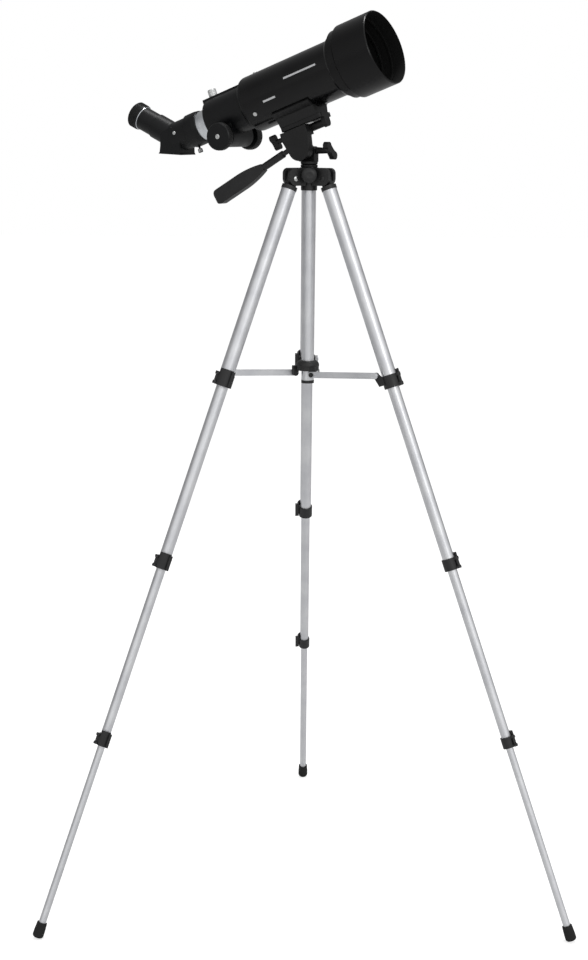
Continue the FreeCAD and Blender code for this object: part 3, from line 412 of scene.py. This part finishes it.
collarScrew = {"at": -197.0, "from": 26.9, "to": 31.5}
screwFrame = frameFrom(scopeFrame @ Vector((collarScrew["at"] * mm, 0, 0)), -scopeUp, scopeWay, -scopeSide)
turned("collar_screw_knurl", [(collarScrew["from"], 2.6), (collarScrew["from"] + 0.3, 3.4),
                              (collarScrew["to"] - 0.3, 3.4), (collarScrew["to"], 2.6),
                              (collarScrew["to"], 0.01)], screwFrame, "zinc", "focus_tube", steps=72,
       flutes=18, fluteDepth=0.08)
diagonalScrew = frameFrom(scopeFrame @ (Vector((-216.8, -21.1, 3.6)) * mm), -scopeSide, scopeWay, -scopeUp)
turned("diagonal_side_screw", [(-0.4, 0.01), (-0.4, 2.5), (0.7, 2.5), (1.1, 1.9), (1.1, 0.8), (0.4, 0.7),
                               (0.4, 0.01)], diagonalScrew, "zinc", "star_diagonal", steps=36)
print("silver pieces done")


# plain printed stripe and data panel on the tube, bent to its curve
def tubePatch(name, fromMm, toMm, lowDeg, highDeg, liftMm, material):
    points, faces = [], []
    across, along = 14, 24
    radius = (38.0 + liftMm) * mm
    for i in range(along + 1):
        share = i / along
        for j in range(across + 1):
            angle = radians(lowDeg + (highDeg - lowDeg) * j / across)
            points.append(((fromMm + (toMm - fromMm) * share) * mm, radius * cos(angle), radius * sin(angle)))
    for i in range(along):
        for j in range(across):
            a = i * (across + 1) + j
            faces.append((a, a + 1, a + across + 2, a + across + 1))
    return placeMesh(name, points, faces, scopeFrame, material, "telescope")


stripe = {"from": -18.0, "to": 34.0, "low": 166.0, "high": 170.0}
panel = {"from": -58.0, "to": -38.0, "low": 193.0, "high": 197.0}
tubePatch("side_stripe", stripe["from"], stripe["to"], stripe["low"], stripe["high"], 0.08, "ink")
tubePatch("side_panel", panel["from"], panel["to"], panel["low"], panel["high"], 0.08, "ink")

# dark plug ring at the lower end of the guide tube, rivet heads on the hinges
tubeLow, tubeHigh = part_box("column_guide_tube")
tubeFoot = Vector(((tubeLow[0] + tubeHigh[0]) / 2, (tubeLow[1] + tubeHigh[1]) / 2, tubeLow[2]))
plugFrame = frameFrom(tubeFoot, Vector((0, 0, 1)), Vector((0, 1, 0)), Vector((-1, 0, 0)))
turned("guide_tube_plug", [(0.1, 7.4), (-0.9, 7.6), (-0.9, 8.9), (3.2, 8.9), (3.2, 8.55), (0.1, 8.52)],
       plugFrame, "legFittingNylon", "root", closed=True)
for leg in legNames:
    hinge = jointPlace(leg + "_leg_fold")
    side = jointWay(leg + "_leg_fold")
    for end, way in (("a", 1), ("b", -1)):
        up = Vector((0, 0, 1))
        rivet = frameFrom(hinge + side * way * 10 * mm, side * way, up, (side * way).cross(up))
        turned("hinge_rivet_%s_%s" % (leg, end), [(-0.2, 0.01), (-0.2, 3.4), (0.5, 3.4), (1.0, 2.4), (1.2, 0.01)],
               rivet, "zinc" if way > 0 else "legFittingNylon", "root", steps=32)
print("details done")

# stage, light and camera
axisPlace = Vector((tubeFoot[0], tubeFoot[1], 0))


def stageMaterial(name, base, roughness, glow):
    material, tree, shader = newMaterial(name, base, 0.0, roughness)
    shader.inputs["Emission Color"].default_value = colour("#ffffff")
    seen = addNode(tree, "ShaderNodeLightPath").outputs["Is Camera Ray"]
    tree.links.new(spread(tree, seen, 0.05, glow, 0, 1), shader.inputs["Emission Strength"])
    return material


floorMesh = bpy.data.meshes.new("floor")
reach = 14.0
floorMesh.from_pydata([(-reach, -reach, 0), (reach, -reach, 0), (reach, reach, 0), (-reach, reach, 0)], [],
                      [(0, 1, 2, 3)])
floor = bpy.data.objects.new("floor", floorMesh)
floor.location.z = -0.0003
bpy.context.scene.collection.objects.link(floor)
floorMesh.materials.append(stageMaterial("paleFloor", "#d8d8d8", 0.85, 0.66))

studio = {"dim": 0.30, "bright": 0.96, "seen": 1.0, "brightFrom": (0.30, -0.92, 0.25),
          "lamps": [("keyLamp", (1.6, -3.4, 2.4), 1.2, 14), ("topLamp", (0.2, 0.4, 3.8), 0.9, 34)]}
world = bpy.data.worlds.new("studio")
bpy.context.scene.world = world
world.use_nodes = True
skyTree = world.node_tree
sky = skyTree.nodes["Background"]
sky.inputs["Color"].default_value = (1, 1, 1, 1)
# a big soft white wall on the left and front, darker towards the right and the back
heading = addNode(skyTree, "ShaderNodeTexCoord").outputs["Generated"]
facing = addNode(skyTree, "ShaderNodeVectorMath", {"operation": "DOT_PRODUCT", 1: studio["brightFrom"]},
                 {0: heading}).outputs["Value"]
wall = addNode(skyTree, "ShaderNodeMapRange", {"From Min": -0.1, "From Max": 0.7, "To Min": studio["dim"],
                                               "To Max": studio["bright"]}, {"Value": facing})
rays = addNode(skyTree, "ShaderNodeLightPath")
level = addNode(skyTree, "ShaderNodeMix", {"data_type": "FLOAT", 3: studio["seen"]},
                {0: rays.outputs["Is Camera Ray"], 2: wall.outputs["Result"]})
skyTree.links.new(level.outputs[0], sky.inputs["Strength"])
aim = axisPlace + Vector((0, 0, 0.75))
for name, place, size, power in studio["lamps"]:
    lamp = bpy.data.lights.new(name, "AREA")
    lamp.shape = "DISK"
    lamp.size = size
    lamp.energy = power
    lampObject = bpy.data.objects.new(name, lamp)
    lampObject.location = place
    lampObject.rotation_euler = (aim - Vector(place)).to_track_quat("-Z", "Y").to_euler()
    bpy.context.scene.collection.objects.link(lampObject)

view = {"back": 2.506, "side": -0.0179, "height": 1.092, "down": 11.31, "roll": 0.35, "lens": 68.625}
camera = bpy.data.cameras.new("camera")
camera.lens = view["lens"]
camera.sensor_width = 36
camera.clip_start = 0.05
cameraObject = bpy.data.objects.new("camera", camera)
cameraObject.matrix_world = (Matrix.Translation(axisPlace + Vector((view["side"], -view["back"], view["height"])))
                             @ Matrix.Rotation(radians(90 - view["down"]), 4, "X")
                             @ Matrix.Rotation(radians(view["roll"]), 4, "Z"))
bpy.context.scene.collection.objects.link(cameraObject)
bpy.context.scene.camera = cameraObject
bpy.context.scene.view_settings.view_transform = "Standard"
print("stage, light and camera done")
